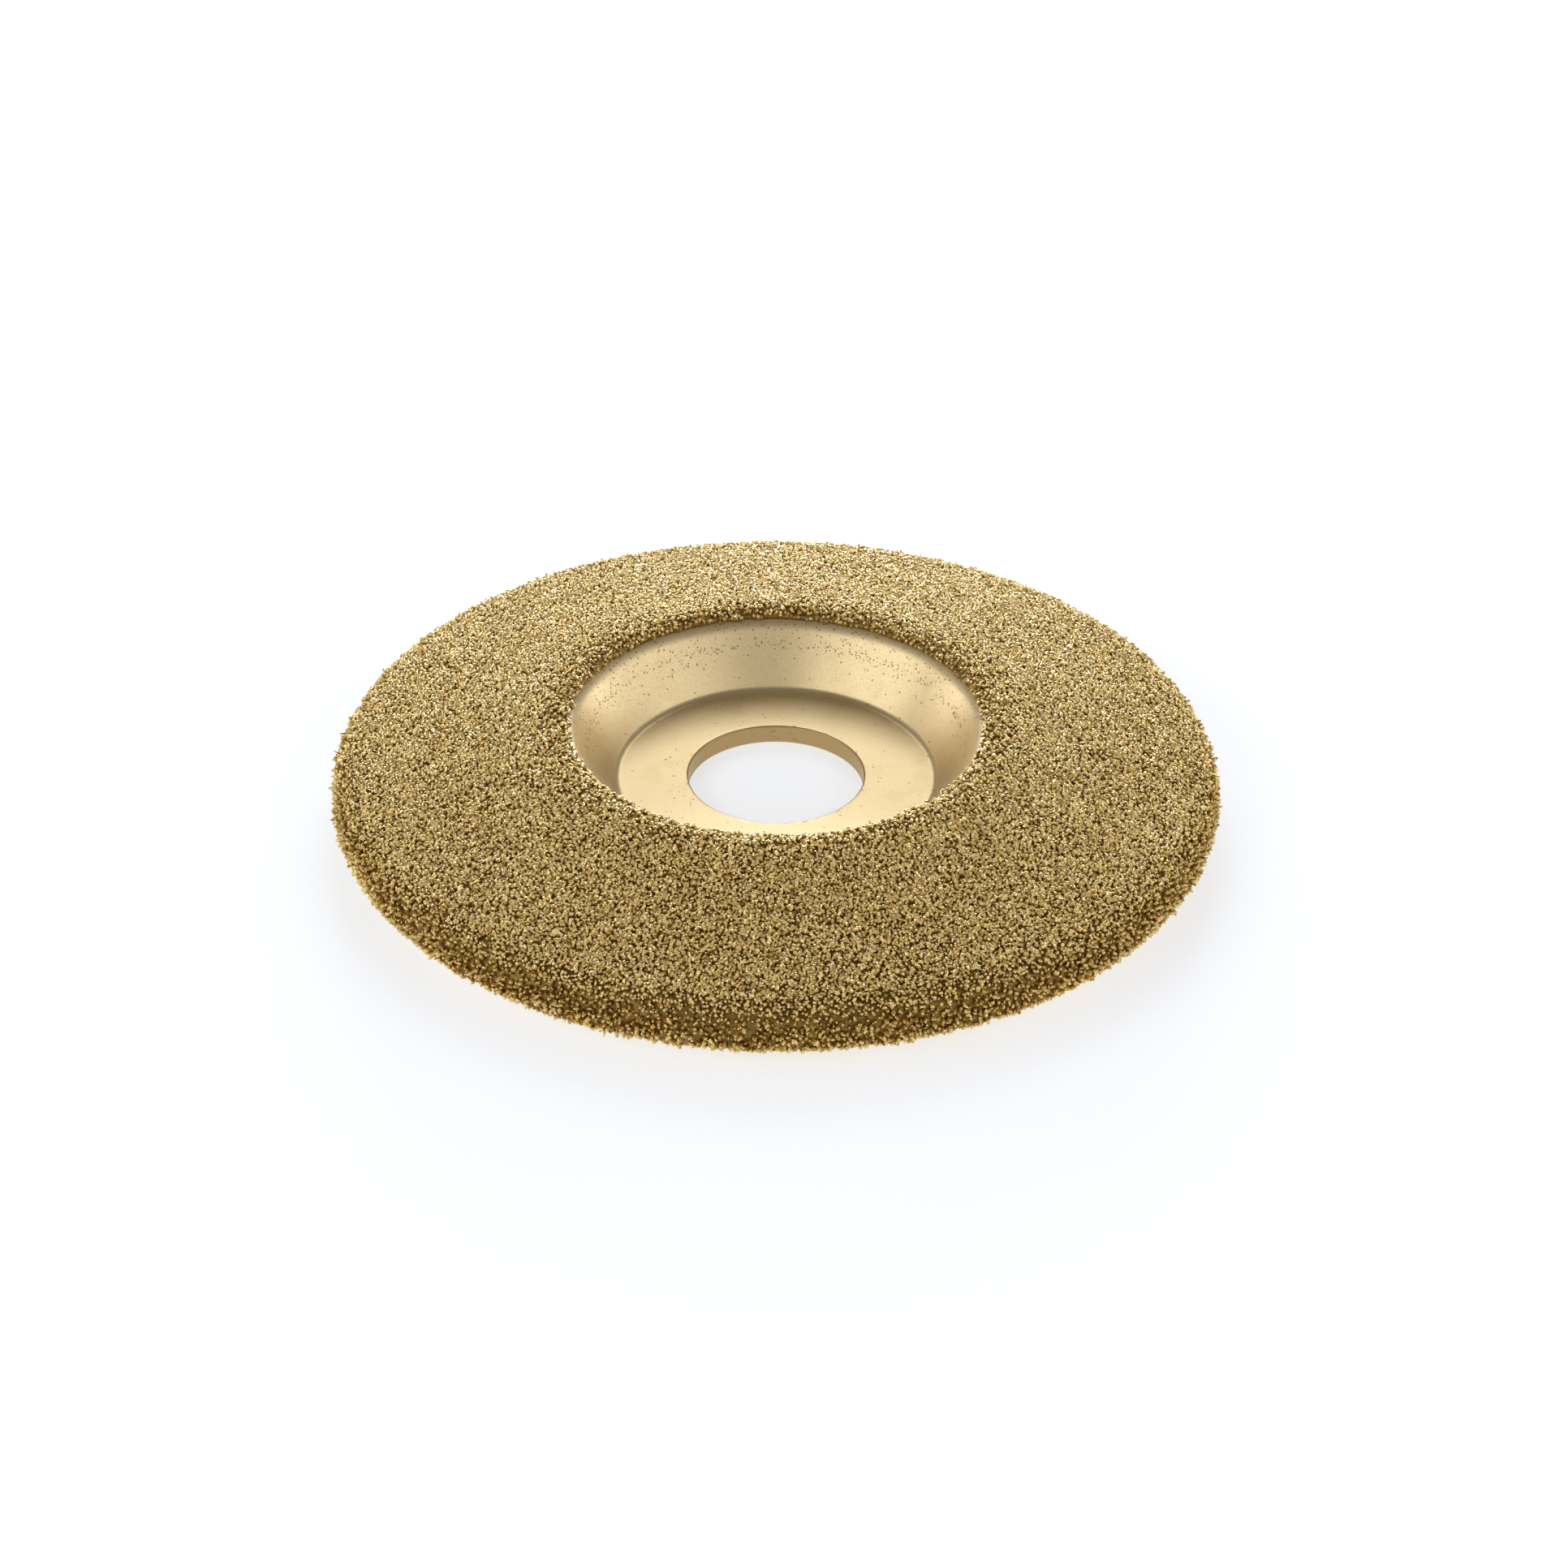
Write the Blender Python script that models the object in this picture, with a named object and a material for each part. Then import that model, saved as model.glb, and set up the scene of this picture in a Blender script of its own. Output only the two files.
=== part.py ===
"""Angle grinder carving disc, as separate solids in one frame.

A pressed steel dish carries a skin of braze over its working face and round its rim, and the braze
holds rings of carbide teeth. Units are metres. The origin is the centre of the bore on the underside
of the hub, and +Z points out of the working face.

The sheet is described by its bends. Each bend has a centre, a signed radius and the range through
which the normal of the working surface turns there, so the working surface, the underside and every
layer of the coat are the same bends seen from another distance along that normal.
"""

import math
from collections import namedtuple

import bmesh
import bpy
from mathutils import Matrix, Vector

MM = 0.001

# Pressed steel dish.
BORE_RADIUS = 11.1125 * MM
BORE_CHAMFER = 0.25 * MM
PLATE = 2.5 * MM
HUB_FLOOR_RADIUS = 19.3 * MM
HUB_FILLET = 1.8 * MM
CONE_ANGLE = math.radians(55.2)
CREST_HEIGHT = 10.7 * MM
CREST_INSIDE_BEND = 0.3 * MM
RIM_HEIGHT = 7.3 * MM
RIM_INSIDE_BEND = 0.5 * MM
LIP_STRAIGHT = 0.64 * MM

# Coat of braze and carbide teeth.
OUTER_RADIUS = 55.5 * MM
BOND_GAP = 0.1 * MM
BRAZE = 0.3 * MM
TOOTH_HEIGHT = 0.7 * MM
EDGE_TOOTH_HEIGHT = 0.35 * MM
EDGE_TAPER = 3.0 * MM
COAT_START = math.radians(123)
COAT_END = math.radians(-90)
RING_COUNT = 18
RING_SPACE = 0.35 * MM
VALLEY_SHARE = 0.3

# Facets of the turned shapes.
SEGMENTS = 60
BEND_STEP = math.radians(15)
EDGE_STEP = math.radians(30)
SMOOTH_ANGLE = math.radians(35)

Bend = namedtuple("Bend", "centre radius start end step")


def direction(angle):
    """Unit vector in the XZ plane, at an angle from +X towards +Z."""
    return Vector((math.cos(angle), 0.0, math.sin(angle)))


def shared_normal(first, first_radius, second, second_radius):
    """Angle of the normal of the straight run that touches two outward bends."""
    span = second - first
    heading = math.atan2(span.z, span.x)
    return heading + math.acos((first_radius - second_radius) / span.length)


def dish_bends():
    """Bends of the sheet from the hub floor out to the lowest point of the lip.

    The hub fillet curls towards the working side, so its radius is negative. The crest stands as far
    out as the cone has to run, at its angle, to climb from the hub fillet to the crest's height.
    """
    crest_bend = CREST_INSIDE_BEND + PLATE
    rim_bend = RIM_INSIDE_BEND + PLATE
    steel_radius = OUTER_RADIUS - 2 * BOND_GAP - BRAZE - TOOTH_HEIGHT
    cone = math.pi / 2 + CONE_ANGLE
    hub = Vector((HUB_FLOOR_RADIUS, 0.0, PLATE + HUB_FILLET))
    climb = CREST_HEIGHT - crest_bend - hub.z
    run_out = -(HUB_FILLET + crest_bend + climb * math.sin(cone)) / math.cos(cone)
    crest = hub + Vector((run_out, 0.0, climb))
    rim = Vector((steel_radius - rim_bend, 0.0, RIM_HEIGHT - rim_bend))
    lip = Vector((steel_radius - PLATE / 2, 0.0, rim.z - LIP_STRAIGHT))
    face = shared_normal(crest, crest_bend, rim, rim_bend)
    return [
        Bend(hub, -HUB_FILLET, math.pi / 2, cone, BEND_STEP),
        Bend(crest, crest_bend, cone, face, BEND_STEP),
        Bend(rim, rim_bend, face, 0.0, BEND_STEP),
        Bend(lip, PLATE / 2, 0.0, -math.pi / 2, EDGE_STEP),
    ]


def coat_bends(bends):
    """The bends that the coat covers, cut off where the coat starts and ends."""
    crest, rim, lip = bends[1:]
    return [crest._replace(start=COAT_START), rim, lip._replace(end=COAT_END)]


def arc(bend, distance):
    """Points of one bend, at a distance along the normal of the working surface."""
    turn = bend.end - bend.start
    steps = max(1, math.ceil(abs(turn) / bend.step))
    angles = [bend.start + turn * step / steps for step in range(steps + 1)]
    return [bend.centre + direction(angle) * (bend.radius + distance) for angle in angles]


def outline(bends, distance):
    """Points along several bends; the straight runs join them up."""
    return [point for bend in bends for point in arc(bend, distance)]


def straight(bend, following, distance):
    """Ends of the straight run between two bends, at a distance along the normal."""
    normal = direction(bend.end)
    start = bend.centre + normal * (bend.radius + distance)
    end = following.centre + normal * (following.radius + distance)
    return start, end


def coat_length(coat, distance):
    """Length of the coat's section, measured on the surface at a distance along the normal."""
    bent = sum((bend.radius + distance) * (bend.start - bend.end) for bend in coat)
    pairs = [straight(bend, following, distance) for bend, following in zip(coat, coat[1:])]
    return bent + sum((end - start).length for start, end in pairs)


def place_on_coat(coat, distance, travel):
    """Point and normal on that surface, after a travel along it from the coat's inner edge."""
    for bend, following in zip(coat, coat[1:] + coat[-1:]):
        radius = bend.radius + distance
        bent = radius * (bend.start - bend.end)
        if travel <= bent or bend is following:
            normal = direction(bend.start - travel / radius)
            return bend.centre + normal * radius, normal
        travel -= bent
        start, end = straight(bend, following, distance)
        flat = (end - start).length
        if travel <= flat:
            return start.lerp(end, travel / flat), direction(bend.end)
        travel -= flat


def turned(profile):
    """Mesh made by spinning a closed profile round the Z axis."""
    bm = bmesh.new()
    verts = [bm.verts.new(point) for point in profile]
    edges = [bm.edges.new((verts[index - 1], vert)) for index, vert in enumerate(verts)]
    bmesh.ops.spin(
        bm,
        geom=verts + edges,
        cent=(0.0, 0.0, 0.0),
        axis=(0.0, 0.0, 1.0),
        angle=2 * math.pi,
        steps=SEGMENTS,
        use_merge=True,
    )
    bmesh.ops.recalc_face_normals(bm, faces=bm.faces)
    return bm


def node(name, bm, material, axis):
    """Finished object of one sub-part, hung on the spindle axis."""
    mesh = bpy.data.meshes.new(name)
    bm.to_mesh(mesh)
    bm.free()
    mesh.materials.append(material)
    mesh.shade_smooth()
    mesh.set_sharp_from_angle(angle=SMOOTH_ANGLE)
    part = bpy.data.objects.new(name, mesh)
    bpy.context.collection.objects.link(part)
    part.parent = axis
    return part


def metal(name, colour, roughness):
    """Plain metal material."""
    material = bpy.data.materials.new(name)
    material.use_nodes = True
    shader = material.node_tree.nodes["Principled BSDF"]
    shader.inputs["Base Color"].default_value = (*colour, 1.0)
    shader.inputs["Metallic"].default_value = 1.0
    shader.inputs["Roughness"].default_value = roughness
    return material


def steel_dish(bends, material, axis):
    """Pressed sheet with a flat hub, a conical recess, a sloping face and a turned-down rounded lip."""
    working = outline(bends, 0.0)
    lip = bends[3]
    inner_lip = lip._replace(start=lip.end, end=-math.pi)
    under = outline(bends[:3], -PLATE)
    bore = [
        Vector((BORE_RADIUS + BORE_CHAMFER, 0.0, 0.0)),
        Vector((BORE_RADIUS, 0.0, BORE_CHAMFER)),
        Vector((BORE_RADIUS, 0.0, PLATE - BORE_CHAMFER)),
        Vector((BORE_RADIUS + BORE_CHAMFER, 0.0, PLATE)),
    ]
    profile = bore + working + arc(inner_lip, 0.0)[1:] + under[::-1]
    return node("steel_dish", turned(profile), material, axis)


def braze_layer(coat, material, axis):
    """Thin skin of braze, a bond gap off the steel, from the crest of the recess round the lip."""
    inner = outline(coat, BOND_GAP)
    outer = outline(coat, BOND_GAP + BRAZE)
    return node("braze_layer", turned(inner + outer[::-1]), material, axis)


def tooth_ring(name, place, normal, width, height, tip_on_section, material, axis):
    """Ring of wedge-shaped teeth joined at their feet.

    A ridge of triangular section is turned, its crest is split halfway along each facet, and every
    second crest point is lifted to the height of a tooth.
    """
    along = Vector((normal.z, 0.0, -normal.x))
    valley = place + normal * (height * VALLEY_SHARE)
    tip = place + normal * height
    bm = turned([place - along * (width / 2), valley, place + along * (width / 2)])
    crest = [edge for edge in bm.edges if all(is_turned_copy(vert, valley) for vert in edge.verts)]
    split = bmesh.ops.subdivide_edges(bm, edges=crest, cuts=1)
    middles = [item for item in split["geom_inner"] if isinstance(item, bmesh.types.BMVert)]
    sections = [vert for vert in bm.verts if is_turned_copy(vert, valley)]
    for vert in middles:
        turn_to(vert, valley)
    for vert in sections if tip_on_section else middles:
        turn_to(vert, tip)
    bmesh.ops.triangulate(bm, faces=bm.faces)
    return node(name, bm, material, axis)


def is_turned_copy(vert, point):
    """Whether a vertex is the point of the profile, turned round the Z axis."""
    offset = Vector((vert.co.xy.length - point.x, 0.0, vert.co.z - point.z))
    return offset.length < BOND_GAP / 10


def turn_to(vert, point):
    """Move a vertex to a profile point, keeping the vertex's own angle round the Z axis."""
    angle = math.atan2(vert.co.y, vert.co.x)
    vert.co = Matrix.Rotation(angle, 3, "Z") @ point


def tooth_rings(coat, material, axis):
    """Rings of teeth spread evenly over the braze, with lower teeth near the coat's inner edge."""
    distance = 2 * BOND_GAP + BRAZE
    pitch = coat_length(coat, distance) / RING_COUNT
    for index in range(RING_COUNT):
        travel = pitch * (index + 0.5)
        place, normal = place_on_coat(coat, distance, travel)
        share = min(1.0, travel / EDGE_TAPER)
        height = EDGE_TOOTH_HEIGHT + (TOOTH_HEIGHT - EDGE_TOOTH_HEIGHT) * share
        name = f"tooth_ring_{index + 1:02d}"
        tip_on_section = index % 2 == 1
        tooth_ring(name, place, normal, pitch - RING_SPACE, height, tip_on_section, material, axis)


def main():
    """Build the whole disc in an empty scene."""
    for item in list(bpy.data.objects):
        bpy.data.objects.remove(item)
    axis = bpy.data.objects.new("spindle_axis", None)
    bpy.context.collection.objects.link(axis)
    bends = dish_bends()
    coat = coat_bends(bends)
    steel_dish(bends, metal("gold_finished_steel", (0.80, 0.64, 0.36), 0.35), axis)
    braze_layer(coat, metal("braze", (0.42, 0.30, 0.13), 0.55), axis)
    tooth_rings(coat, metal("carbide_teeth", (0.62, 0.48, 0.24), 0.40), axis)


if __name__ == "__main__":
    main()
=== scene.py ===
"""Looks of an angle grinder carving disc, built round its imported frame.

The steel dish, the braze skin and the rings of carbide teeth are turned or scattered surfaces, worked
out with numpy from one section: the same bends of the sheet, seen from different distances along the
normal of its working face. Lengths are in metres, and +Z points out of the working face.
"""

import math
from collections import namedtuple

import bpy
import numpy as np
from bpy.props import FloatProperty, FloatVectorProperty, IntProperty, PointerProperty
from bpy.types import Operator, Panel, PropertyGroup
from mathutils import Matrix, Vector


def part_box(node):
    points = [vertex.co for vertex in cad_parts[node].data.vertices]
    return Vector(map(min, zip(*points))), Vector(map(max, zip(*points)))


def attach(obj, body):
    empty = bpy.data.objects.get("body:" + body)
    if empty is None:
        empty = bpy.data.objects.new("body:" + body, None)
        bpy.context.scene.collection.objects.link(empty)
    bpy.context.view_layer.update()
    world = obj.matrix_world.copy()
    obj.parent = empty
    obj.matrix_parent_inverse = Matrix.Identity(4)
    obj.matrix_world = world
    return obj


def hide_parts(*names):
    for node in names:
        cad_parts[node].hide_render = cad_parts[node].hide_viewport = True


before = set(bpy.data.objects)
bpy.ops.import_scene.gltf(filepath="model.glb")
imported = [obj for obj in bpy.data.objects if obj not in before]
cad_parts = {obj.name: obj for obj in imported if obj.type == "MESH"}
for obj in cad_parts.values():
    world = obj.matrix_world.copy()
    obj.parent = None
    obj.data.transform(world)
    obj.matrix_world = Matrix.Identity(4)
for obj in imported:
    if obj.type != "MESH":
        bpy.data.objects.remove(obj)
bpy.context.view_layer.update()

bl_info = {
    "name": "Grinder Carving Disc",
    "version": (1, 0, 0),
    "blender": (4, 5, 0),
    "location": "View3D > Sidebar > Carving Disc",
    "description": "Dished steel disc with a brazed coat of carbide teeth",
    "category": "Add Mesh",
}

MM = 0.001
ROOT = "root"
CREST_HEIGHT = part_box("steel_dish")[1].z
STEEL_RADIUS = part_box("steel_dish")[1].x
RING_NODES = sorted(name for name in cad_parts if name.startswith("tooth_ring_"))
if not RING_NODES:
    raise ValueError("the frame has no tooth rings")

Bend = namedtuple("Bend", "centre radius start end")
Section = namedtuple("Section", "points normals travel")
Softbox = namedtuple("Softbox", "radiance azimuth elevation distance width height tint")

WHITE = (1.0, 1.0, 1.0)
WARM = (1.0, 0.94, 0.84)
COOL = (0.92, 1.0, 1.17)

# Rows of teeth stand this share of the tooth spacing apart, as in a pattern of triangles.
ROW_PITCH = 0.87

# Each softbox names the stage's setting that holds its radiance. Azimuth and elevation are in degrees,
# seen from the hub floor, with the camera at azimuth -90; lengths are in metres.
SOFTBOXES = {
    "back_softbox": Softbox("back", 90.0, 9.0, 0.9, 0.62, 0.22, COOL),
    "key_light": Softbox("key", 90.0, 37.5, 1.2, 0.50, 0.44, WHITE),
    "back_right_softbox": Softbox("corner", 30.0, 11.0, 0.9, 0.44, 0.24, WHITE),
    "back_left_softbox": Softbox("corner", 150.0, 11.0, 0.9, 0.44, 0.24, WHITE),
    "front_softbox": Softbox("front", -88.0, 36.0, 0.8, 0.9, 0.6, WHITE),
    "left_softbox": Softbox("left", -151.0, 26.0, 0.8, 1.1, 0.5, WHITE),
    "right_softbox": Softbox("right", -22.0, 23.0, 0.8, 1.1, 0.5, WHITE),
}


# ---------------------------------------------------------------------------------------------------
# Sizes and colours


def length(name, description, default):
    """A size in metres."""
    return FloatProperty(name=name, description=description, default=default, unit="LENGTH", precision=5)


def angle(name, description, degrees):
    """An angle."""
    return FloatProperty(name=name, description=description, default=math.radians(degrees), unit="ROTATION")


def share(name, description, default):
    """A plain number from 0 to 1."""
    return FloatProperty(name=name, description=description, default=default, min=0.0, max=1.0)


def radiance(name, description, default):
    """How bright a light or a surface is, where 1 shows as white."""
    return FloatProperty(name=name, description=description, default=default, min=0.0)


def colour(name, description, default):
    """A linear colour."""
    return FloatVectorProperty(
        name=name, description=description, default=default, subtype="COLOR", size=3, min=0.0, max=1.0
    )


class DiscDishSizes(PropertyGroup):
    """Sizes of the pressed sheet."""

    bore_radius: length("Bore Radius", "Radius of the plain bore", 11.1125 * MM)
    bore_edge: length("Bore Edge", "Width of the broken edge round the bore", 0.25 * MM)
    plate: length("Plate", "Thickness of the sheet", 2.5 * MM)
    floor_radius: length("Hub Floor Radius", "Where the flat floor of the recess ends", 19.6 * MM)
    hub_fillet: length("Hub Fillet", "Inside radius between the floor and the cone", 1.2 * MM)
    cone_angle: angle("Cone Angle", "Rise of the wall of the recess", 55.2)
    crest_bend: length("Crest Bend", "Inside radius of the bend at the crest", 1.3 * MM)
    rim_height: length("Rim Height", "Height at which the face rolls over", 7.3 * MM)
    rim_bend: length("Rim Bend", "Inside radius of the bend at the rim", 0.5 * MM)
    lip_straight: length("Lip Straight", "Straight part of the turned-down lip", 0.64 * MM)


class DiscCoatSizes(PropertyGroup):
    """Sizes of the braze and the teeth."""

    start: angle("Coat Start", "Where the coat starts on the crest, as the angle of the normal", 122.0)
    end: angle("Coat End", "Where the coat ends under the lip, as the angle of the normal", -90.0)
    braze: length("Braze", "Thickness of the braze over the steel", 0.42 * MM)
    spacing: length("Tooth Spacing", "Average distance between neighbouring teeth on the face", 0.37 * MM)
    rim_spacing: length("Rim Tooth Spacing", "The same round the rim", 0.63 * MM)
    height: length("Tooth Height", "Average height of a tooth above the braze", 0.46 * MM)
    rim_height: length("Rim Tooth Height", "The same round the rim", 0.74 * MM)
    edge_height: length("Edge Tooth Height", "The same at the inner edge of the coat", 0.40 * MM)
    taper: length("Edge Taper", "How far in from the inner edge teeth are lower", 1.4 * MM)
    pitted: length("Pitted Edge", "How far in from the inner edge more teeth are missing", 5.5 * MM)
    width: length("Tooth Width", "Average radius of a tooth at its foot", 0.25 * MM)
    rim_width: length("Rim Tooth Width", "The same round the rim", 0.34 * MM)
    lean: angle("Lean", "How far a tooth may lean from the normal", 22.0)
    pits: share("Pits", "Share of the teeth that are missing", 0.08)
    scatter: share("Scatter", "How far a tooth strays from its row, as a share of the spacing", 0.38)
    edge_pits: share("Edge Pits", "The same near the inner edge of the coat", 0.45)
    # Sunk teeth are lower, and they are also coloured darker as painted shade.
    sunk: share("Sunk Teeth", "Share of the teeth that sit low and dark in the braze", 0.12)
    edge_sunk: share("Edge Sunk Teeth", "The same near the inner edge of the coat", 0.55)
    seed: IntProperty(name="Seed", description="Seed of the scatter of the teeth", default=7)


class DiscFinish(PropertyGroup):
    """Colours and gloss."""

    steel: colour("Steel", "Gold finish of the bare steel", (0.75, 0.61, 0.37))
    steel_stain: colour("Steel Stain", "Darker patches of the bare steel", (0.62, 0.47, 0.23))
    bore: colour("Bore", "Wall of the punched bore", (0.48, 0.34, 0.15))
    speck: colour("Speck", "Pits and specks of the bare steel", (0.31, 0.21, 0.08))
    # The braze colour is partly the braze's own and partly painted shade in the gaps between the teeth.
    braze: colour("Braze", "Braze between the teeth", (0.30, 0.185, 0.05))
    # The foot colour is painted shade: teeth are coloured darker near the braze, where shade falls between
    # them.
    tooth_foot_shade: colour("Tooth Foot", "Teeth near the braze", (0.42, 0.27, 0.07))
    tooth_side: colour("Tooth Side", "Sides of the teeth", (0.97, 0.735, 0.285))
    # The tip colour is a painted highlight: the lighter tips stand for the light that the teeth catch.
    tooth_tip_highlight: colour("Tooth Tip", "Rubbed tips of the teeth", (1.0, 0.855, 0.49))
    speck_ring: length("Speck Ring", "Radius at which specks gather in a line on the cone", 23.7 * MM)
    steel_roughness: share("Steel Roughness", "Of the blasted steel", 0.38)
    tooth_roughness: share("Tooth Roughness", "Of the teeth", 0.28)


class DiscStage(PropertyGroup):
    """Floor, lights and camera."""

    floor: colour("Floor", "Plain pale floor", (0.62, 0.66, 0.74))
    glow: radiance("Glow", "Light that the floor gives off of itself", 0.56)
    world: radiance("World", "Brightness of the room", 0.355)
    back: radiance("Back", "Radiance of the softbox behind", 16.0)
    key: radiance("Key", "Radiance of the small light above and behind", 2.6)
    left: radiance("Left", "Radiance of the softbox at the front left", 1.65)
    right: radiance("Right", "Radiance of the softbox at the front right", 1.2)
    corner: radiance("Corner", "Radiance of the softboxes at the back corners", 2.8)
    front: radiance("Front", "Radiance of the softbox in front", 0.34)
    view_elevation: angle("View Elevation", "Height of the camera above the floor, as an angle", 33.16)
    view_distance: length("View Distance", "From the camera to the hub floor", 300.0 * MM)
    view_roll: angle("View Roll", "Turn of the camera about its own axis", 0.4)


# ---------------------------------------------------------------------------------------------------
# Section of the disc


def direction(angles):
    """Unit vectors in the plane of the section, at angles from outward towards upward."""
    return np.stack([np.cos(angles), np.sin(angles)], axis=-1)


def dish_bends(sizes):
    """Bends of the sheet from the hub floor out to the lowest point of the lip.

    Each has a centre, a radius, and the angles of the normal where it starts and ends. The hub fillet
    curls towards the working side, so its radius is negative. The cone touches the hub fillet and the
    crest; the face touches the crest and the rim, because the part of the line between two centres
    that lies along their shared normal is the difference of the radii.
    """
    crest_bend = sizes.crest_bend + sizes.plate
    rim_bend = sizes.rim_bend + sizes.plate
    cone = math.pi / 2 + sizes.cone_angle
    hub = np.array([sizes.floor_radius, sizes.plate + sizes.hub_fillet])
    climb = CREST_HEIGHT - crest_bend - hub[1]
    run_out = -(sizes.hub_fillet + crest_bend + climb * math.sin(cone)) / math.cos(cone)
    crest = hub + [run_out, climb]
    rim = np.array([STEEL_RADIUS - rim_bend, sizes.rim_height - rim_bend])
    lip = np.array([STEEL_RADIUS - sizes.plate / 2, rim[1] - sizes.lip_straight])
    span = rim - crest
    face = math.atan2(span[1], span[0]) + math.acos((crest_bend - rim_bend) / np.hypot(*span))
    return [
        Bend(hub, -sizes.hub_fillet, math.pi / 2, cone),
        Bend(crest, crest_bend, cone, face),
        Bend(rim, rim_bend, face, 0.0),
        Bend(lip, sizes.plate / 2, 0.0, -math.pi / 2),
    ]


def coat_bends(bends, coat):
    """The bends that the coat covers, cut off where the coat starts and ends."""
    crest, rim, lip = bends[1:]
    return [crest._replace(start=coat.start), rim, lip._replace(end=coat.end)]


def section(bends, distance, steps=24):
    """Section at a distance along the normal: centre plus (radius + distance) times the normal.

    Holds the points, the angle of the normal at each, and the length travelled up to it.
    """
    angles = np.concatenate([np.linspace(bend.start, bend.end, steps) for bend in bends])
    radii = np.repeat([bend.radius + distance for bend in bends], steps)
    centres = np.repeat([bend.centre for bend in bends], steps, axis=0)
    points = centres + radii[:, None] * direction(angles)
    steps_along = np.hypot(*np.diff(points, axis=0).T)
    return Section(points, angles, np.concatenate([[0.0], np.cumsum(steps_along)]))


def at_travel(line, travel):
    """Points and normals of a section after some travel along it, read in proportion to the length."""
    points = np.stack([np.interp(travel, line.travel, line.points[:, axis]) for axis in (0, 1)], axis=-1)
    return points, direction(np.interp(travel, line.travel, line.normals))


def rim_share(line, travel):
    """0 on the face, 1 where the normal has turned down to the side of the rim, smoothly between."""
    share_now = np.clip((math.radians(70.0) - np.interp(travel, line.travel, line.normals)) / 0.9, 0.0, 1.0)
    return share_now * share_now * (3.0 - 2.0 * share_now)


def quarter_round(inward, radius):
    """Height of an edge rounded by a quarter circle, sqrt(1 - (1 - x/r)^2), from 0 at the edge to 1."""
    left = 1.0 - np.clip(inward, 0.0, radius) / radius
    return np.sqrt(1.0 - left * left)


def refined(points, spacing):
    """The same outline with extra points wherever two neighbours are further apart than a spacing."""
    travel = np.concatenate([[0.0], np.cumsum(np.hypot(*np.diff(points, axis=0).T))])
    extra = np.arange(0.0, travel[-1], spacing)
    merged = np.sort(np.concatenate([travel, extra[np.abs(extra[:, None] - travel).min(1) > spacing / 3]]))
    return np.stack([np.interp(merged, travel, points[:, axis]) for axis in (0, 1)], axis=-1)


# ---------------------------------------------------------------------------------------------------
# Meshes


def ripples(count_u, count_v, cells_u, cells_v, seed):
    """Smooth random heights from -1 to 1 on a grid that closes in its second direction.

    Random heights stand at the corners of cells_u by cells_v cells, and a smooth step, 3t^2 - 2t^3,
    blends them inside each cell.
    """
    corners = np.random.default_rng(seed).uniform(-1.0, 1.0, (cells_u + 1, cells_v))
    u = np.linspace(0.0, cells_u, count_u, endpoint=False)
    v = np.linspace(0.0, cells_v, count_v, endpoint=False)
    iu = u.astype(int)
    iv = v.astype(int)
    su = (u - iu) ** 2 * (3.0 - 2.0 * (u - iu))
    sv = (v - iv) ** 2 * (3.0 - 2.0 * (v - iv))
    low = corners[iu][:, iv] * (1.0 - sv) + corners[iu][:, (iv + 1) % cells_v] * sv
    high = corners[iu + 1][:, iv] * (1.0 - sv) + corners[iu + 1][:, (iv + 1) % cells_v] * sv
    return low * (1.0 - su[:, None]) + high * su[:, None]


def ring_grid(radii, heights):
    """Closed surface of points (r cos a, r sin a, z), where r and z are grids of profile by turn."""
    rows, columns = radii.shape
    turn = np.linspace(0.0, 2.0 * np.pi, columns, endpoint=False)
    points = np.stack([radii * np.cos(turn), radii * np.sin(turn), heights], axis=-1).reshape(-1, 3)
    row, column = np.meshgrid(np.arange(rows), np.arange(columns), indexing="ij")
    next_row = (row + 1) % rows
    next_column = (column + 1) % columns
    corners = [row * columns + column, next_row * columns + column,
               next_row * columns + next_column, row * columns + next_column]
    return points, np.stack(corners, axis=-1).reshape(-1, 4)


def piece(name, points, faces, material, slot, *nodes, smooth=True):
    """Finished object that rides with the disc and stands for CAD nodes.

    Every face has the same number of corners, given as one row of the faces array.
    """
    mesh = bpy.data.meshes.new(name)
    count, corners = faces.shape
    mesh.vertices.add(len(points))
    mesh.vertices.foreach_set("co", points.astype(np.float32).ravel())
    mesh.loops.add(count * corners)
    mesh.loops.foreach_set("vertex_index", faces.astype(np.int32).ravel())
    mesh.polygons.add(count)
    mesh.polygons.foreach_set("loop_start", np.arange(0, count * corners, corners, dtype=np.int32))
    mesh.update(calc_edges=True)
    if mesh.validate():
        raise ValueError(f"{name} has faulty faces")
    if smooth:
        mesh.shade_smooth()
    else:
        mesh.shade_flat()
    mesh.materials.append(material)
    body = bpy.data.objects.new(name, mesh)
    bpy.context.scene.collection.objects.link(body)
    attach(body, ROOT)
    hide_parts(*nodes)
    return body


def set_attribute(body, name, values):
    """One number for each vertex, for the material to read."""
    attribute = body.data.attributes.new(name, "FLOAT", "POINT")
    attribute.data.foreach_set("value", values.astype(np.float32).ravel())


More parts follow.
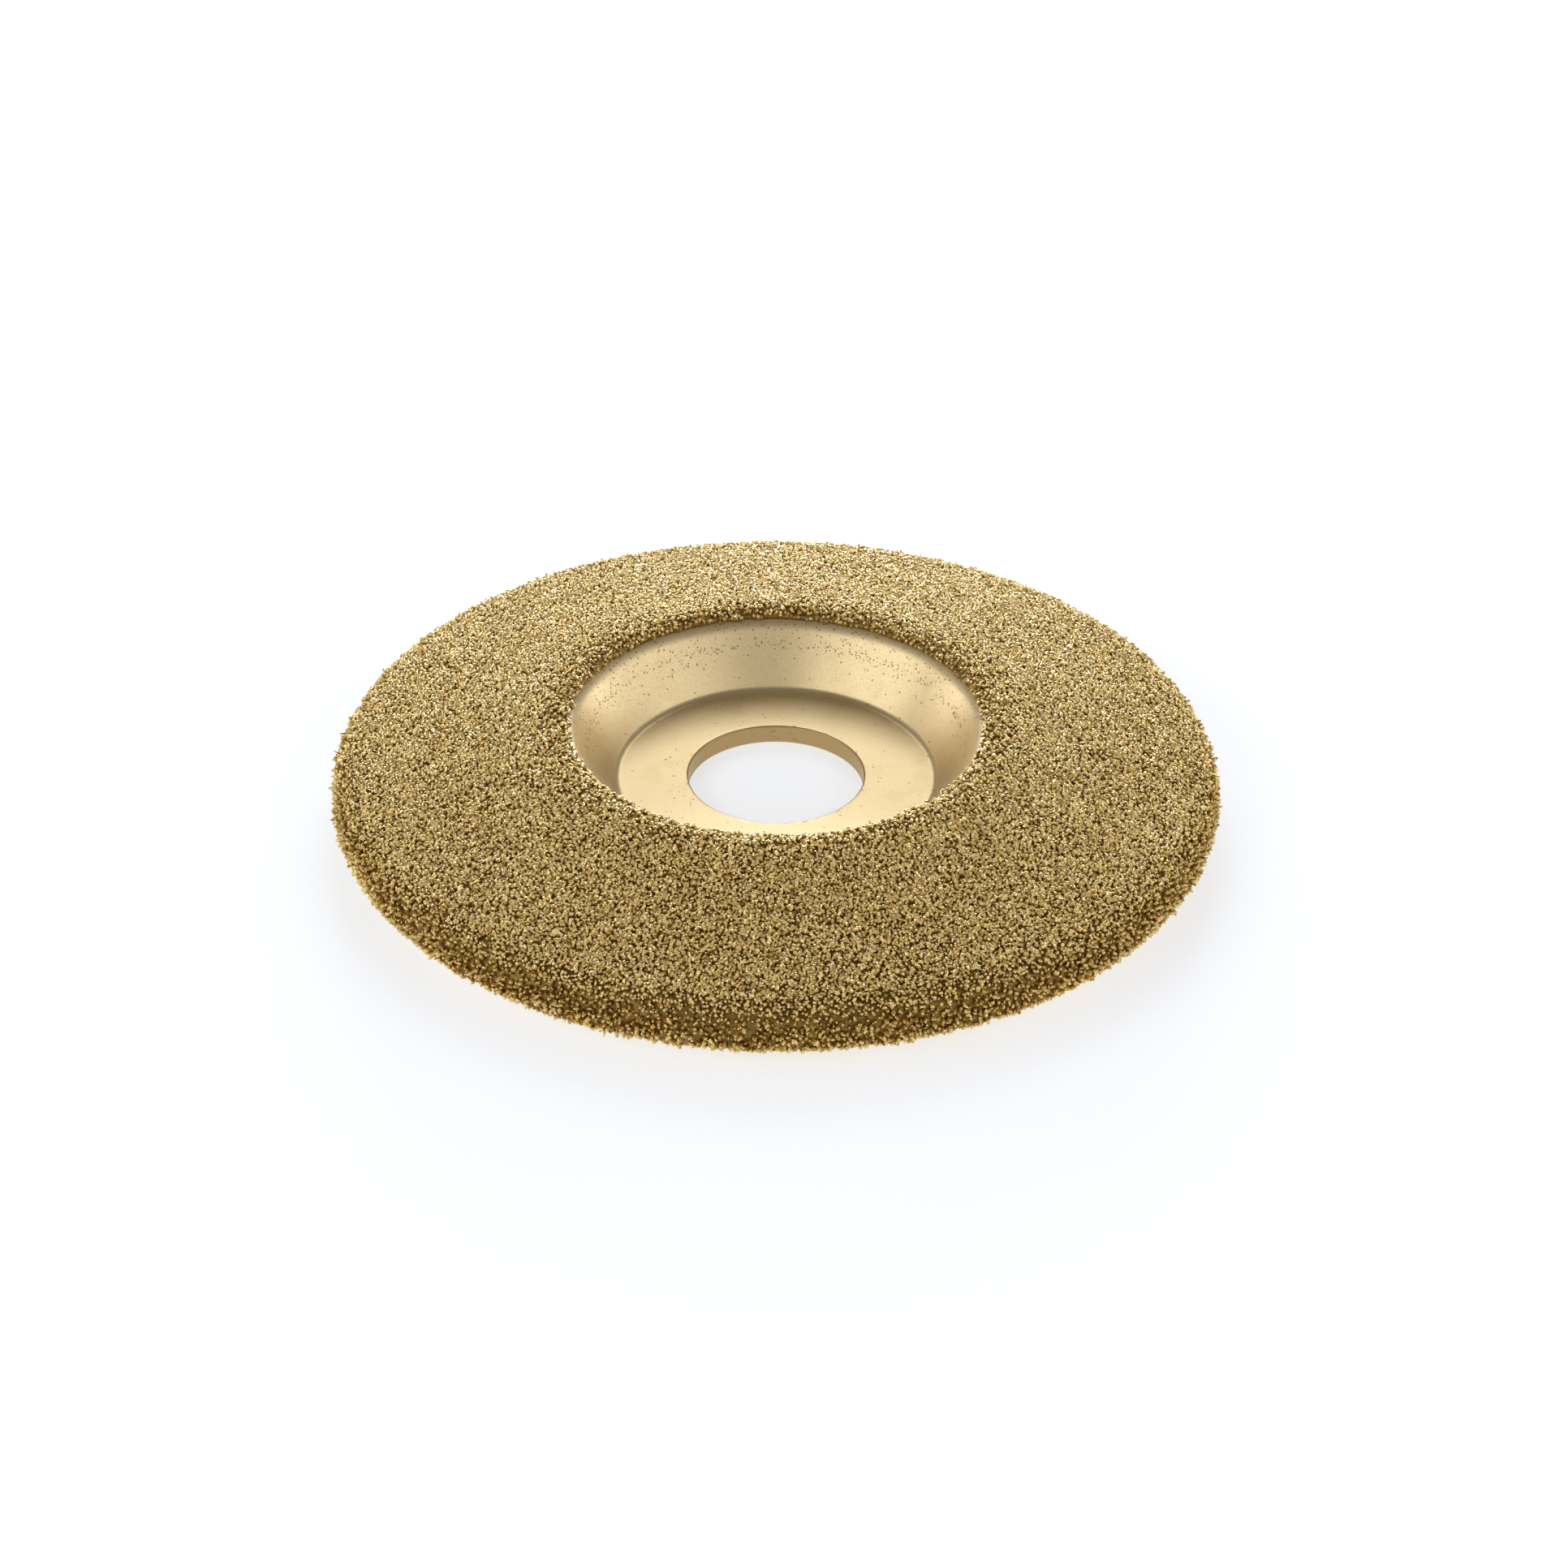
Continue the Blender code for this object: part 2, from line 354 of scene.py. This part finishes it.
def spikes(feet, normals, heights, widths, leans, points_out, rng):
    """Closed four-sided teeth, one for each foot: from a dome to a blunt point, with knobbly sides.

    Returns the points, the faces, each point's rise and the number of points in a tooth.

    Level j of a tooth lies at foot + height * rise[j] * normal + height * rise[j]^1.5 * lean, and its
    corners stand round that point at width * girth[j], each pushed in or out at random. The girths
    run from those of a dome to those of a point by the share points_out. One more vertex closes the
    tip, and a fan closes the foot.
    """
    sides = 4
    rise = np.array([-0.15, 0.50, 0.88])
    dome = np.array([1.12, 1.00, 0.66])
    point = np.array([1.05, 0.80, 0.40])
    girth = dome + points_out[:, None] * (point - dome)
    count = len(feet)
    levels = len(rise)
    around = np.cross(normals, [0.0, 0.0, 1.0])
    around /= np.linalg.norm(around, axis=1, keepdims=True)
    across = np.cross(normals, around)
    bent = np.abs(rise) ** 1.5
    centres = (feet[:, None] + heights[:, None, None] * rise[None, :, None] * normals[:, None]
               + heights[:, None, None] * bent[None, :, None] * leans[:, None])
    drift = rng.normal(0.0, 0.10, (count, levels, 2)) * widths[:, None, None]
    centres = centres + drift[..., :1] * around[:, None] + drift[..., 1:] * across[:, None]
    turn = (rng.uniform(0.0, 2.0 * np.pi, (count, 1, 1)) + rng.uniform(-0.3, 0.3, (count, levels, 1))
            + np.arange(sides) * 2.0 * np.pi / sides)
    reach = widths[:, None, None] * girth[:, :, None] * rng.uniform(0.74, 1.26, (count, levels, sides))
    ring = (centres[:, :, None] + (reach * np.cos(turn))[..., None] * around[:, None, None]
            + (reach * np.sin(turn))[..., None] * across[:, None, None])
    tips = feet + heights[:, None] * (normals + leans)
    points = np.concatenate([ring.reshape(count, -1, 3), tips[:, None]], axis=1)
    column = np.arange(sides)
    beside = (column + 1) % sides
    bands = []
    for level in range(levels - 1):
        low = level * sides
        high = low + sides
        bands.append(np.stack([low + column, low + beside, high + beside], axis=-1))
        bands.append(np.stack([low + column, high + beside, high + column], axis=-1))
    last = (levels - 1) * sides
    bands.append(np.stack([last + column, last + beside, np.full(sides, levels * sides)], axis=-1))
    fan = np.arange(1, sides - 1)
    bands.append(np.stack([np.zeros_like(fan), fan + 1, fan], axis=-1))
    template = np.concatenate(bands)
    size = levels * sides + 1
    faces = (template[None] + (np.arange(count) * size)[:, None, None]).reshape(-1, 3)
    height_share = np.concatenate([np.repeat(rise, sides), [1.0]])
    return points.reshape(-1, 3), faces, np.tile(height_share, count), size


# ---------------------------------------------------------------------------------------------------
# Materials


def node(tree, kind, **settings):
    """New shader node; settings are attributes, and those that name an input set its value."""
    made = tree.nodes.new(kind)
    for key, value in settings.items():
        if key in made.inputs:
            made.inputs[key].default_value = value
        else:
            setattr(made, key, value)
    return made


def math_node(tree, operation, first, second=0.0):
    """Result of one sum on sockets or numbers."""
    made = tree.nodes.new("ShaderNodeMath")
    made.operation = operation
    for socket, value in zip(made.inputs, (first, second)):
        if isinstance(value, (int, float)):
            socket.default_value = value
        else:
            tree.links.new(value, socket)
    return made.outputs[0]


def blend(tree, factor, first, second):
    """Colour between two, by a factor socket. Each colour is a socket or three numbers."""
    made = tree.nodes.new("ShaderNodeMix")
    made.data_type = "RGBA"
    tree.links.new(factor, made.inputs["Factor"])
    for socket, value in ((made.inputs[6], first), (made.inputs[7], second)):
        if isinstance(value, bpy.types.NodeSocket):
            tree.links.new(value, socket)
        else:
            socket.default_value = (*value, 1.0)
    return made.outputs[2]


def ramp(tree, value, low, high, to_low=0.0, to_high=1.0):
    """Smooth step of a socket from one range to another."""
    made = tree.nodes.new("ShaderNodeMapRange")
    made.interpolation_type = "SMOOTHSTEP"
    tree.links.new(value, made.inputs["Value"])
    for key, number in (("From Min", low), ("From Max", high), ("To Min", to_low), ("To Max", to_high)):
        made.inputs[key].default_value = number
    return made.outputs["Result"]


def group_tree(name, inputs, outputs):
    """Empty shader node group with named sockets, each given as a name, a type and a default."""
    tree = bpy.data.node_groups.new(name, "ShaderNodeTree")
    for label, kind, default in inputs:
        socket = tree.interface.new_socket(label, in_out="INPUT", socket_type=kind)
        if default is not None:
            socket.default_value = default
    for label, kind in outputs:
        tree.interface.new_socket(label, in_out="OUTPUT", socket_type=kind)
    return tree, tree.nodes.new("NodeGroupInput"), tree.nodes.new("NodeGroupOutput")


def grain_group():
    """Fine grain: noise at one size that tints a colour and gives a height and a roughness."""
    tree, given, result = group_tree(
        "Metal Grain",
        [("Vector", "NodeSocketVector", None), ("Colour", "NodeSocketColor", (0.8, 0.8, 0.8, 1.0)),
         ("Dark", "NodeSocketColor", (0.4, 0.4, 0.4, 1.0)), ("Scale", "NodeSocketFloat", 2000.0),
         ("Tint", "NodeSocketFloat", 0.3), ("Roughness", "NodeSocketFloat", 0.35),
         ("Spread", "NodeSocketFloat", 0.1)],
        [("Colour", "NodeSocketColor"), ("Roughness", "NodeSocketFloat"), ("Height", "NodeSocketFloat")],
    )
    noise = node(tree, "ShaderNodeTexNoise", Detail=4.0, Roughness=0.62)
    tree.links.new(given.outputs["Vector"], noise.inputs["Vector"])
    tree.links.new(given.outputs["Scale"], noise.inputs["Scale"])
    value = ramp(tree, noise.outputs["Fac"], 0.3, 0.7)
    factor = math_node(tree, "MULTIPLY", value, given.outputs["Tint"])
    mixed = blend(tree, factor, given.outputs["Colour"], given.outputs["Dark"])
    tree.links.new(mixed, result.inputs["Colour"])
    swing = math_node(tree, "MULTIPLY", math_node(tree, "SUBTRACT", value, 0.5), given.outputs["Spread"])
    tree.links.new(math_node(tree, "ADD", given.outputs["Roughness"], swing), result.inputs["Roughness"])
    tree.links.new(noise.outputs["Fac"], result.inputs["Height"])
    return tree


def speck_group():
    """Round specks: the cores of scattered cells, kept where a cell's random number is high enough."""
    tree, given, result = group_tree(
        "Specks",
        [("Vector", "NodeSocketVector", None), ("Scale", "NodeSocketFloat", 1400.0),
         ("Share", "NodeSocketFloat", 0.1), ("Size", "NodeSocketFloat", 0.25)],
        [("Mask", "NodeSocketFloat")],
    )
    cells = node(tree, "ShaderNodeTexVoronoi", Randomness=1.0)
    tree.links.new(given.outputs["Vector"], cells.inputs["Vector"])
    tree.links.new(given.outputs["Scale"], cells.inputs["Scale"])
    split = tree.nodes.new("ShaderNodeSeparateColor")
    tree.links.new(cells.outputs["Color"], split.inputs[0])
    kept = math_node(tree, "LESS_THAN", split.outputs[0], given.outputs["Share"])
    reach = math_node(tree, "MULTIPLY", given.outputs["Size"], math_node(tree, "ADD", split.outputs[1], 0.4))
    near = math_node(tree, "SUBTRACT", reach, cells.outputs["Distance"])
    core = ramp(tree, near, 0.0, 0.08)
    tree.links.new(math_node(tree, "MULTIPLY", core, kept), result.inputs["Mask"])
    return tree


def shared_group(name, make):
    """The node group of a name, made the first time that a material needs it."""
    return bpy.data.node_groups.get(name) or make()


def place_group(tree, group, links, **values):
    """Group node with some inputs linked to sockets and others set to numbers or colours."""
    made = tree.nodes.new("ShaderNodeGroup")
    made.node_tree = group
    for key, socket in links.items():
        tree.links.new(socket, made.inputs[key])
    for key, value in values.items():
        made.inputs[key].default_value = value
    return made


def new_metal(name, metallic):
    """Metal material; returns it with its tree and its shader."""
    material = bpy.data.materials.new(name)
    material.use_nodes = True
    tree = material.node_tree
    shader = tree.nodes["Principled BSDF"]
    shader.inputs["Metallic"].default_value = metallic
    return material, tree, shader


def bump(tree, height, shader, distance, strength=1.0):
    """Bump from a height socket into the shader's normal."""
    made = node(tree, "ShaderNodeBump", Strength=strength, Distance=distance)
    tree.links.new(height, made.inputs["Height"])
    tree.links.new(made.outputs["Normal"], shader.inputs["Normal"])


def steel_material(finish, sizes):
    """Blasted steel with a satin gold finish, stains, and specks.

    The specks gather in a line round the cone, are thinner inward of it and beyond it, and stand as
    nicks round the bore. The radius that places them is the square root of x squared plus y squared.
    """
    material, tree, shader = new_metal("gold_finished_steel", 0.82)
    place = tree.nodes.new("ShaderNodeTexCoord").outputs["Object"]
    grain = place_group(
        tree, shared_group("Metal Grain", grain_group), {"Vector": place},
        Colour=(*finish.steel, 1.0), Dark=(*finish.steel_stain, 1.0), Scale=5200.0, Tint=0.5,
        Roughness=finish.steel_roughness, Spread=0.12)
    stain = node(tree, "ShaderNodeTexNoise", Scale=170.0, Detail=3.0, Roughness=0.6)
    tree.links.new(place, stain.inputs["Vector"])
    patches = ramp(tree, stain.outputs["Fac"], 0.52, 0.75, 0.0, 0.5)
    base = blend(tree, patches, grain.outputs["Colour"], tuple(finish.steel_stain))
    split = tree.nodes.new("ShaderNodeSeparateXYZ")
    tree.links.new(place, split.inputs[0])
    squares = math_node(tree, "ADD", math_node(tree, "POWER", split.outputs[0], 2.0),
                        math_node(tree, "POWER", split.outputs[1], 2.0))
    radius = math_node(tree, "SQRT", squares)
    above = ramp(tree, split.outputs[2], sizes.plate * 1.4, sizes.plate * 2.4)
    ring = finish.speck_ring
    line = math_node(tree, "MULTIPLY", ramp(tree, radius, ring - 0.3 * MM, ring - 0.1 * MM),
                     ramp(tree, radius, ring + 0.1 * MM, ring + 0.4 * MM, 1.0, 0.12))
    inward_of_line = ramp(tree, radius, ring - 1.7 * MM, ring - 0.3 * MM, 0.0, 0.14)
    band = math_node(tree, "MULTIPLY", inward_of_line, above)
    clumps = node(tree, "ShaderNodeTexNoise", Scale=300.0, Detail=2.0)
    tree.links.new(place, clumps.inputs["Vector"])
    clumped = ramp(tree, clumps.outputs["Fac"], 0.35, 0.65, 0.3, 1.3)
    gathered = math_node(tree, "MULTIPLY", math_node(tree, "MULTIPLY", line, 0.85), above)
    share_here = math_node(tree, "MULTIPLY", math_node(tree, "ADD", gathered, band), clumped)
    bore = sizes.bore_radius
    nicks = ramp(tree, radius, bore + 0.4 * MM, bore + 0.9 * MM, 0.10, 0.025)
    specks = place_group(
        tree, shared_group("Specks", speck_group),
        {"Vector": place, "Share": math_node(tree, "ADD", share_here, nicks)}, Scale=3400.0, Size=0.36)
    inside = ramp(tree, radius, bore + 0.1 * MM, bore + 0.3 * MM, 1.0, 0.0)
    punched = blend(tree, inside, base, tuple(finish.bore))
    coloured = blend(tree, specks.outputs["Mask"], punched, tuple(finish.speck))
    tree.links.new(coloured, shader.inputs["Base Color"])
    tree.links.new(grain.outputs["Roughness"], shader.inputs["Roughness"])
    height = math_node(tree, "SUBTRACT", math_node(tree, "MULTIPLY", grain.outputs["Height"], 0.35),
                       specks.outputs["Mask"])
    bump(tree, height, shader, 0.03 * MM)
    return material


def braze_material(finish):
    """Rough braze, darker in random patches; its dark colour is partly its own and partly painted shade in
    the gaps between the teeth.
    """
    material, tree, shader = new_metal("gold_braze", 1.0)
    place = tree.nodes.new("ShaderNodeTexCoord").outputs["Object"]
    grain = place_group(
        tree, shared_group("Metal Grain", grain_group), {"Vector": place},
        Colour=(*finish.braze, 1.0), Dark=(*[part * 0.5 for part in finish.braze], 1.0), Scale=3000.0,
        Tint=0.8, Roughness=0.5, Spread=0.2)
    tree.links.new(grain.outputs["Colour"], shader.inputs["Base Color"])
    tree.links.new(grain.outputs["Roughness"], shader.inputs["Roughness"])
    bump(tree, grain.outputs["Height"], shader, 0.08 * MM)
    return material


def carbide_material(finish):
    """Teeth with painted shade towards the foot and a painted highlight at the tip, darkened further as
    painted shade round the rim and on sunk teeth, and each with a random share of its own.
    """
    material, tree, shader = new_metal("gold_carbide", 1.0)
    place = tree.nodes.new("ShaderNodeTexCoord").outputs["Object"]
    rise = node(tree, "ShaderNodeAttribute", attribute_name="rise").outputs["Fac"]
    tone_and_shade = node(tree, "ShaderNodeAttribute", attribute_name="tone_and_shade").outputs["Fac"]
    # Painted shade: each tooth blends from the darker foot colour at its base.
    side = blend(tree, ramp(tree, rise, 0.15, 0.75), tuple(finish.tooth_foot_shade), tuple(finish.tooth_side))
    # Painted highlight: the top of each tooth blends to the lighter tip colour.
    tip_highlighted = blend(tree, ramp(tree, rise, 0.70, 1.0), side, tuple(finish.tooth_tip_highlight))
    # Each tooth's random darkness, plus painted shade on the rim teeth and the sunk teeth, blends it towards
    # the darker foot colour.
    tone_and_shade_share = math_node(tree, "MINIMUM", math_node(tree, "MULTIPLY", tone_and_shade, 0.3), 0.95)
    toned_and_shaded = blend(tree, tone_and_shade_share, tip_highlighted, tuple(finish.tooth_foot_shade))
    # Painted shade in the grain: its dark colour runs from the braze colour at the foot of a tooth towards
    # the foot colour higher up.
    dark = blend(tree, ramp(tree, rise, -0.1, 1.0), tuple(finish.braze), tuple(finish.tooth_foot_shade))
    grain = place_group(
        tree, shared_group("Metal Grain", grain_group), {"Vector": place, "Colour": toned_and_shaded, "Dark": dark},
        Scale=6000.0, Tint=0.30, Roughness=finish.tooth_roughness, Spread=0.2)
    tree.links.new(grain.outputs["Colour"], shader.inputs["Base Color"])
    tree.links.new(grain.outputs["Roughness"], shader.inputs["Roughness"])
    bump(tree, grain.outputs["Height"], shader, 0.07 * MM)
    return material


def floor_material(stage):
    """Plain pale sheet of a light table, which gives off some light of its own."""
    material = bpy.data.materials.new("pale_floor")
    material.use_nodes = True
    shader = material.node_tree.nodes["Principled BSDF"]
    shader.inputs["Base Color"].default_value = (*stage.floor, 1.0)
    shader.inputs["Roughness"].default_value = 0.9
    shader.inputs["Specular IOR Level"].default_value = 0.1
    shader.inputs["Emission Strength"].default_value = 1.0
    tree = material.node_tree
    place = tree.nodes.new("ShaderNodeTexCoord").outputs["Object"]
    gone = tree.nodes.new("ShaderNodeVectorMath")
    gone.operation = "LENGTH"
    tree.links.new(place, gone.inputs[0])
    # Far from the disc, from 0.25 m to 1.2 m, the glow grows until the floor is plain white.
    outward = ramp(tree, gone.outputs["Value"], 0.25, 1.2)
    glow = blend(tree, outward, (stage.glow,) * 3, WHITE)
    tree.links.new(glow, shader.inputs["Emission Color"])
    return material


# ---------------------------------------------------------------------------------------------------
# Operators


class DISC_OT_steel_dish(Operator):
    """Turn the pressed steel dish"""

    bl_idname = "disc.steel_dish"
    bl_label = "Steel Dish"

    def execute(self, context):
        sizes = context.scene.disc_dish
        bends = dish_bends(sizes)
        lip = bends[3]
        working = section(bends, 0.0).points
        inner_lip = section([lip._replace(start=lip.end, end=-math.pi)], 0.0).points[1:]
        under = section(bends[:3], -sizes.plate).points[::-1]
        quarter = np.linspace(0.0, np.pi / 2, 5)
        edge = sizes.bore_edge
        corner = edge * (1.0 - direction(quarter)) + [sizes.bore_radius, 0.0]
        low = corner[::-1]
        high = np.stack([corner[:, 0], sizes.plate - corner[:, 1]], axis=-1)
        profile = refined(np.concatenate([low, high, working, inner_lip, under, low[:1]]), 0.8 * MM)[:-1]
        turns = 320
        radii = np.repeat(profile[:, :1], turns, axis=1)
        heights = np.repeat(profile[:, 1:], turns, axis=1)
        points, faces = ring_grid(radii, heights)
        material = steel_material(context.scene.disc_finish, sizes)
        piece("dish_sheet", points, faces[:, ::-1], material, "dish_steel", "steel_dish")
        return {"FINISHED"}


class DISC_OT_braze(Operator):
    """Lay the lumpy skin of braze over the face and round the rim"""

    bl_idname = "disc.braze"
    bl_label = "Braze"

    def execute(self, context):
        sizes = context.scene.disc_dish
        coat = context.scene.disc_coat
        line = section(coat_bends(dish_bends(sizes), coat), 0.0)
        rows = 104
        turns = 840
        whole = line.travel[-1]
        sink = 0.05 * MM
        lump = 0.05 * MM
        # The inner edge wanders in and out; the surface is lumpy; both are sums of two sizes of ripple.
        edge_wave = 0.10 * MM * ripples(1, turns, 1, 150, 3) + 0.09 * MM * ripples(1, turns, 1, 47, 4)
        along = np.linspace(0.0, 1.0, rows)[:, None]
        travel = edge_wave + along * (whole - edge_wave)
        rounded = quarter_round(travel - edge_wave, coat.braze)
        tail = quarter_round(whole - travel, coat.braze)
        lumps = lump * ripples(rows, turns, 36, 420, 5) + lump * ripples(rows, turns, 60, 300, 6)
        depth = -sink + (coat.braze + sink + lumps) * np.minimum(rounded, tail)
        points, normals = at_travel(line, travel)
        outer = points + normals * depth[..., None]
        # The side on the steel is never seen, so every eighth row is enough for it.
        inner = (points - normals * sink)[::-1][8:-8:8]
        profile = np.concatenate([outer, inner])
        grid, faces = ring_grid(profile[..., 0], profile[..., 1])
        material = braze_material(context.scene.disc_finish)
        piece("braze_skin", grid, faces[:, ::-1], material, "braze", "braze_layer")
        return {"FINISHED"}


class DISC_OT_teeth(Operator):
    """Scatter the carbide teeth, one piece for each ring"""

    bl_idname = "disc.teeth"
    bl_label = "Carbide Teeth"

    def execute(self, context):
        coat = context.scene.disc_coat
        line = section(coat_bends(dish_bends(context.scene.disc_dish), coat), coat.braze)
        material = carbide_material(context.scene.disc_finish)
        rng = np.random.default_rng(coat.seed)
        pitch = line.travel[-1] / len(RING_NODES)
        for index, ring in enumerate(RING_NODES):
            travel = []
            turn = []
            rim = rim_share(line, (index + 0.5) * pitch)
            spacing = coat.spacing + (coat.rim_spacing - coat.spacing) * rim
            rows = round(pitch / (spacing * ROW_PITCH))
            for row in range(rows):
                middle = (index + (row + 0.5) / rows) * pitch
                around = 2.0 * np.pi * at_travel(line, middle)[0][0]
                count = round(around / spacing)
                stray = rng.uniform(-coat.scatter, coat.scatter, count)
                turn.append((np.arange(count) + stray + 0.5 * (row % 2)) / count)
                travel.append(middle + rng.uniform(-coat.scatter, coat.scatter, count) * spacing)
            travel = np.concatenate(travel).clip(0.12 * MM, line.travel[-1])
            turn = np.concatenate(turn) * 2.0 * np.pi
            missing = coat.edge_pits + (coat.pits - coat.edge_pits) * np.clip(travel / coat.pitted, 0.0, 1.0)
            kept = rng.random(len(travel)) > missing
            self.ring_of_teeth(coat, line, travel[kept], turn[kept], rng, material, index, ring)
        return {"FINISHED"}

    def ring_of_teeth(self, coat, line, travel, turn, rng, material, index, ring):
        """One piece: a spike at each travel and turn, leaning at random and lower near the inner edge."""
        count = len(travel)
        place, normal = at_travel(line, travel)
        spun = np.stack([np.cos(turn), np.sin(turn)], axis=-1)
        feet = np.concatenate([place[:, :1] * spun, place[:, 1:]], axis=1)
        normals = np.concatenate([normal[:, :1] * spun, normal[:, 1:]], axis=1)
        rim = rim_share(line, travel)
        inland = coat.height + (coat.rim_height - coat.height) * rim
        typical = coat.edge_height + (inland - coat.edge_height) * np.clip(travel / coat.taper, 0.0, 1.0)
        # Teeth that point down stay shorter, down to half under the lip.
        typical *= 1.0 - 0.5 * np.clip(-normal[:, 1], 0.0, 1.0)
        edge = 1.0 - np.clip(travel / coat.pitted, 0.0, 1.0)
        sunk = rng.random(count) < coat.sunk + (coat.edge_sunk - coat.sunk) * edge
        long_ones = rng.random(count) < 0.05 + 0.10 * rim
        heights = typical * rng.uniform(0.55, 1.20, count) * np.where(long_ones, 1.35, 1.0)
        heights *= np.where(sunk, 0.35, 1.0)
        widths = (coat.width + (coat.rim_width - coat.width) * rim) * rng.uniform(0.7, 1.2, count)
        leans = rng.normal(0.0, math.tan(coat.lean) / 2, (count, 3))
        leans -= (leans * normals).sum(1, keepdims=True) * normals
        points, faces, rise, size = spikes(feet, normals, heights, widths, leans, rim, rng)
        body = piece(f"teeth_{index + 1:02d}", points, faces, material, "carbide", ring, smooth=False)
        set_attribute(body, "rise", rise)
        # A random share for each tooth, plus painted shade: the teeth round the rim and the sunk teeth are
        # coloured darker.
        set_attribute(body, "tone_and_shade", np.repeat(rng.random(count) + 0.5 * rim + 2.0 * sunk, size))


class DISC_OT_stage(Operator):
    """Set the pale floor, the soft lights and the camera"""

    bl_idname = "disc.stage"
    bl_label = "Stage"

    def execute(self, context):
        stage = context.scene.disc_stage
        self.floor(context, stage)
        self.room(context, stage)
        middle = Vector((0.0, 0.0, context.scene.disc_dish.plate))
        for name, box in SOFTBOXES.items():
            self.softbox(context, name, middle, box, getattr(stage, box.radiance))
        self.camera(context, stage, middle)
        return {"FINISHED"}

    def floor(self, context, stage):
        """Flat square far wider than the view."""
        half = 4.0
        mesh = bpy.data.meshes.new("floor")
        corners = [(-half, -half, 0.0), (half, -half, 0.0), (half, half, 0.0), (-half, half, 0.0)]
        mesh.from_pydata(corners, [], [(0, 1, 2, 3)])
        mesh.materials.append(floor_material(stage))
        ground = bpy.data.objects.new("floor", mesh)
        context.scene.collection.objects.link(ground)

    def room(self, context, stage):
        """Warm light from all round, dimmer from overhead, with a white backdrop for the camera."""
        world = bpy.data.worlds.new("room")
        world.use_nodes = True
        tree = world.node_tree
        light = tuple(part * stage.world for part in WARM)
        split = tree.nodes.new("ShaderNodeSeparateXYZ")
        tree.links.new(tree.nodes.new("ShaderNodeTexCoord").outputs["Generated"], split.inputs[0])
        overhead = ramp(tree, split.outputs["Z"], 0.5, 0.95)
        lit = blend(tree, overhead, light, tuple(part * 0.38 for part in light))
        seen = tree.nodes.new("ShaderNodeLightPath").outputs["Is Camera Ray"]
        tree.links.new(blend(tree, seen, lit, WHITE), tree.nodes["Background"].inputs["Color"])
        context.scene.world = world

    def softbox(self, context, name, middle, box, radiance):
        """Rectangular light facing the disc; its power is pi times its area times its radiance."""
        light = bpy.data.lights.new(name, "AREA")
        light.shape = "RECTANGLE"
        light.size = box.width
        light.size_y = box.height
        light.energy = radiance * math.pi * box.width * box.height
        light.color = box.tint
        lamp = bpy.data.objects.new(name, light)
        away = Matrix.Rotation(math.radians(box.azimuth), 3, "Z") @ Vector((1.0, 0.0, 0.0))
        away = away * math.cos(math.radians(box.elevation))
        away.z = math.sin(math.radians(box.elevation))
        lamp.location = middle + away * box.distance
        lamp.rotation_euler = away.to_track_quat("Z", "Y").to_euler()
        context.scene.collection.objects.link(lamp)

    def camera(self, context, stage, middle):
        """Camera in front of the disc, looking down at the middle of the hub floor."""
        view = bpy.data.cameras.new("camera")
        view.lens = 54.4
        view.sensor_width = 36.0
        view.shift_x = 0.0051
        view.shift_y = -0.0071
        view.clip_start = 0.01
        watcher = bpy.data.objects.new("camera", view)
        away = Vector((0.0, -math.cos(stage.view_elevation), math.sin(stage.view_elevation)))
        turn = away.to_track_quat("Z", "Y").to_matrix() @ Matrix.Rotation(stage.view_roll, 3, "Z")
        watcher.matrix_world = Matrix.Translation(middle + away * stage.view_distance) @ turn.to_4x4()
        context.scene.collection.objects.link(watcher)
        context.scene.camera = watcher
        context.scene.view_settings.view_transform = "Standard"


class DISC_PT_sidebar(Panel):
    """Sizes, colours and steps of the carving disc"""

    bl_idname = "DISC_PT_sidebar"
    bl_label = "Carving Disc"
    bl_space_type = "VIEW_3D"
    bl_region_type = "UI"
    bl_category = "Carving Disc"

    def draw(self, context):
        for name in SETTINGS:
            box = self.layout.box()
            settings = getattr(context.scene, name)
            for key in settings.__annotations__:
                box.prop(settings, key)
        for step in STEPS:
            self.layout.operator(step.bl_idname)


SETTINGS = {
    "disc_dish": DiscDishSizes,
    "disc_coat": DiscCoatSizes,
    "disc_finish": DiscFinish,
    "disc_stage": DiscStage,
}
STEPS = (DISC_OT_steel_dish, DISC_OT_braze, DISC_OT_teeth, DISC_OT_stage)


def register():
    for kind in (*SETTINGS.values(), *STEPS, DISC_PT_sidebar):
        bpy.utils.register_class(kind)
    for name, kind in SETTINGS.items():
        setattr(bpy.types.Scene, name, PointerProperty(type=kind))


def unregister():
    for name in SETTINGS:
        delattr(bpy.types.Scene, name)
    for kind in reversed((*SETTINGS.values(), *STEPS, DISC_PT_sidebar)):
        bpy.utils.unregister_class(kind)


def main():
    """Make every piece and the stage."""
    register()
    bpy.ops.disc.steel_dish()
    bpy.ops.disc.braze()
    bpy.ops.disc.teeth()
    bpy.ops.disc.stage()


if __name__ == "__main__":
    main()
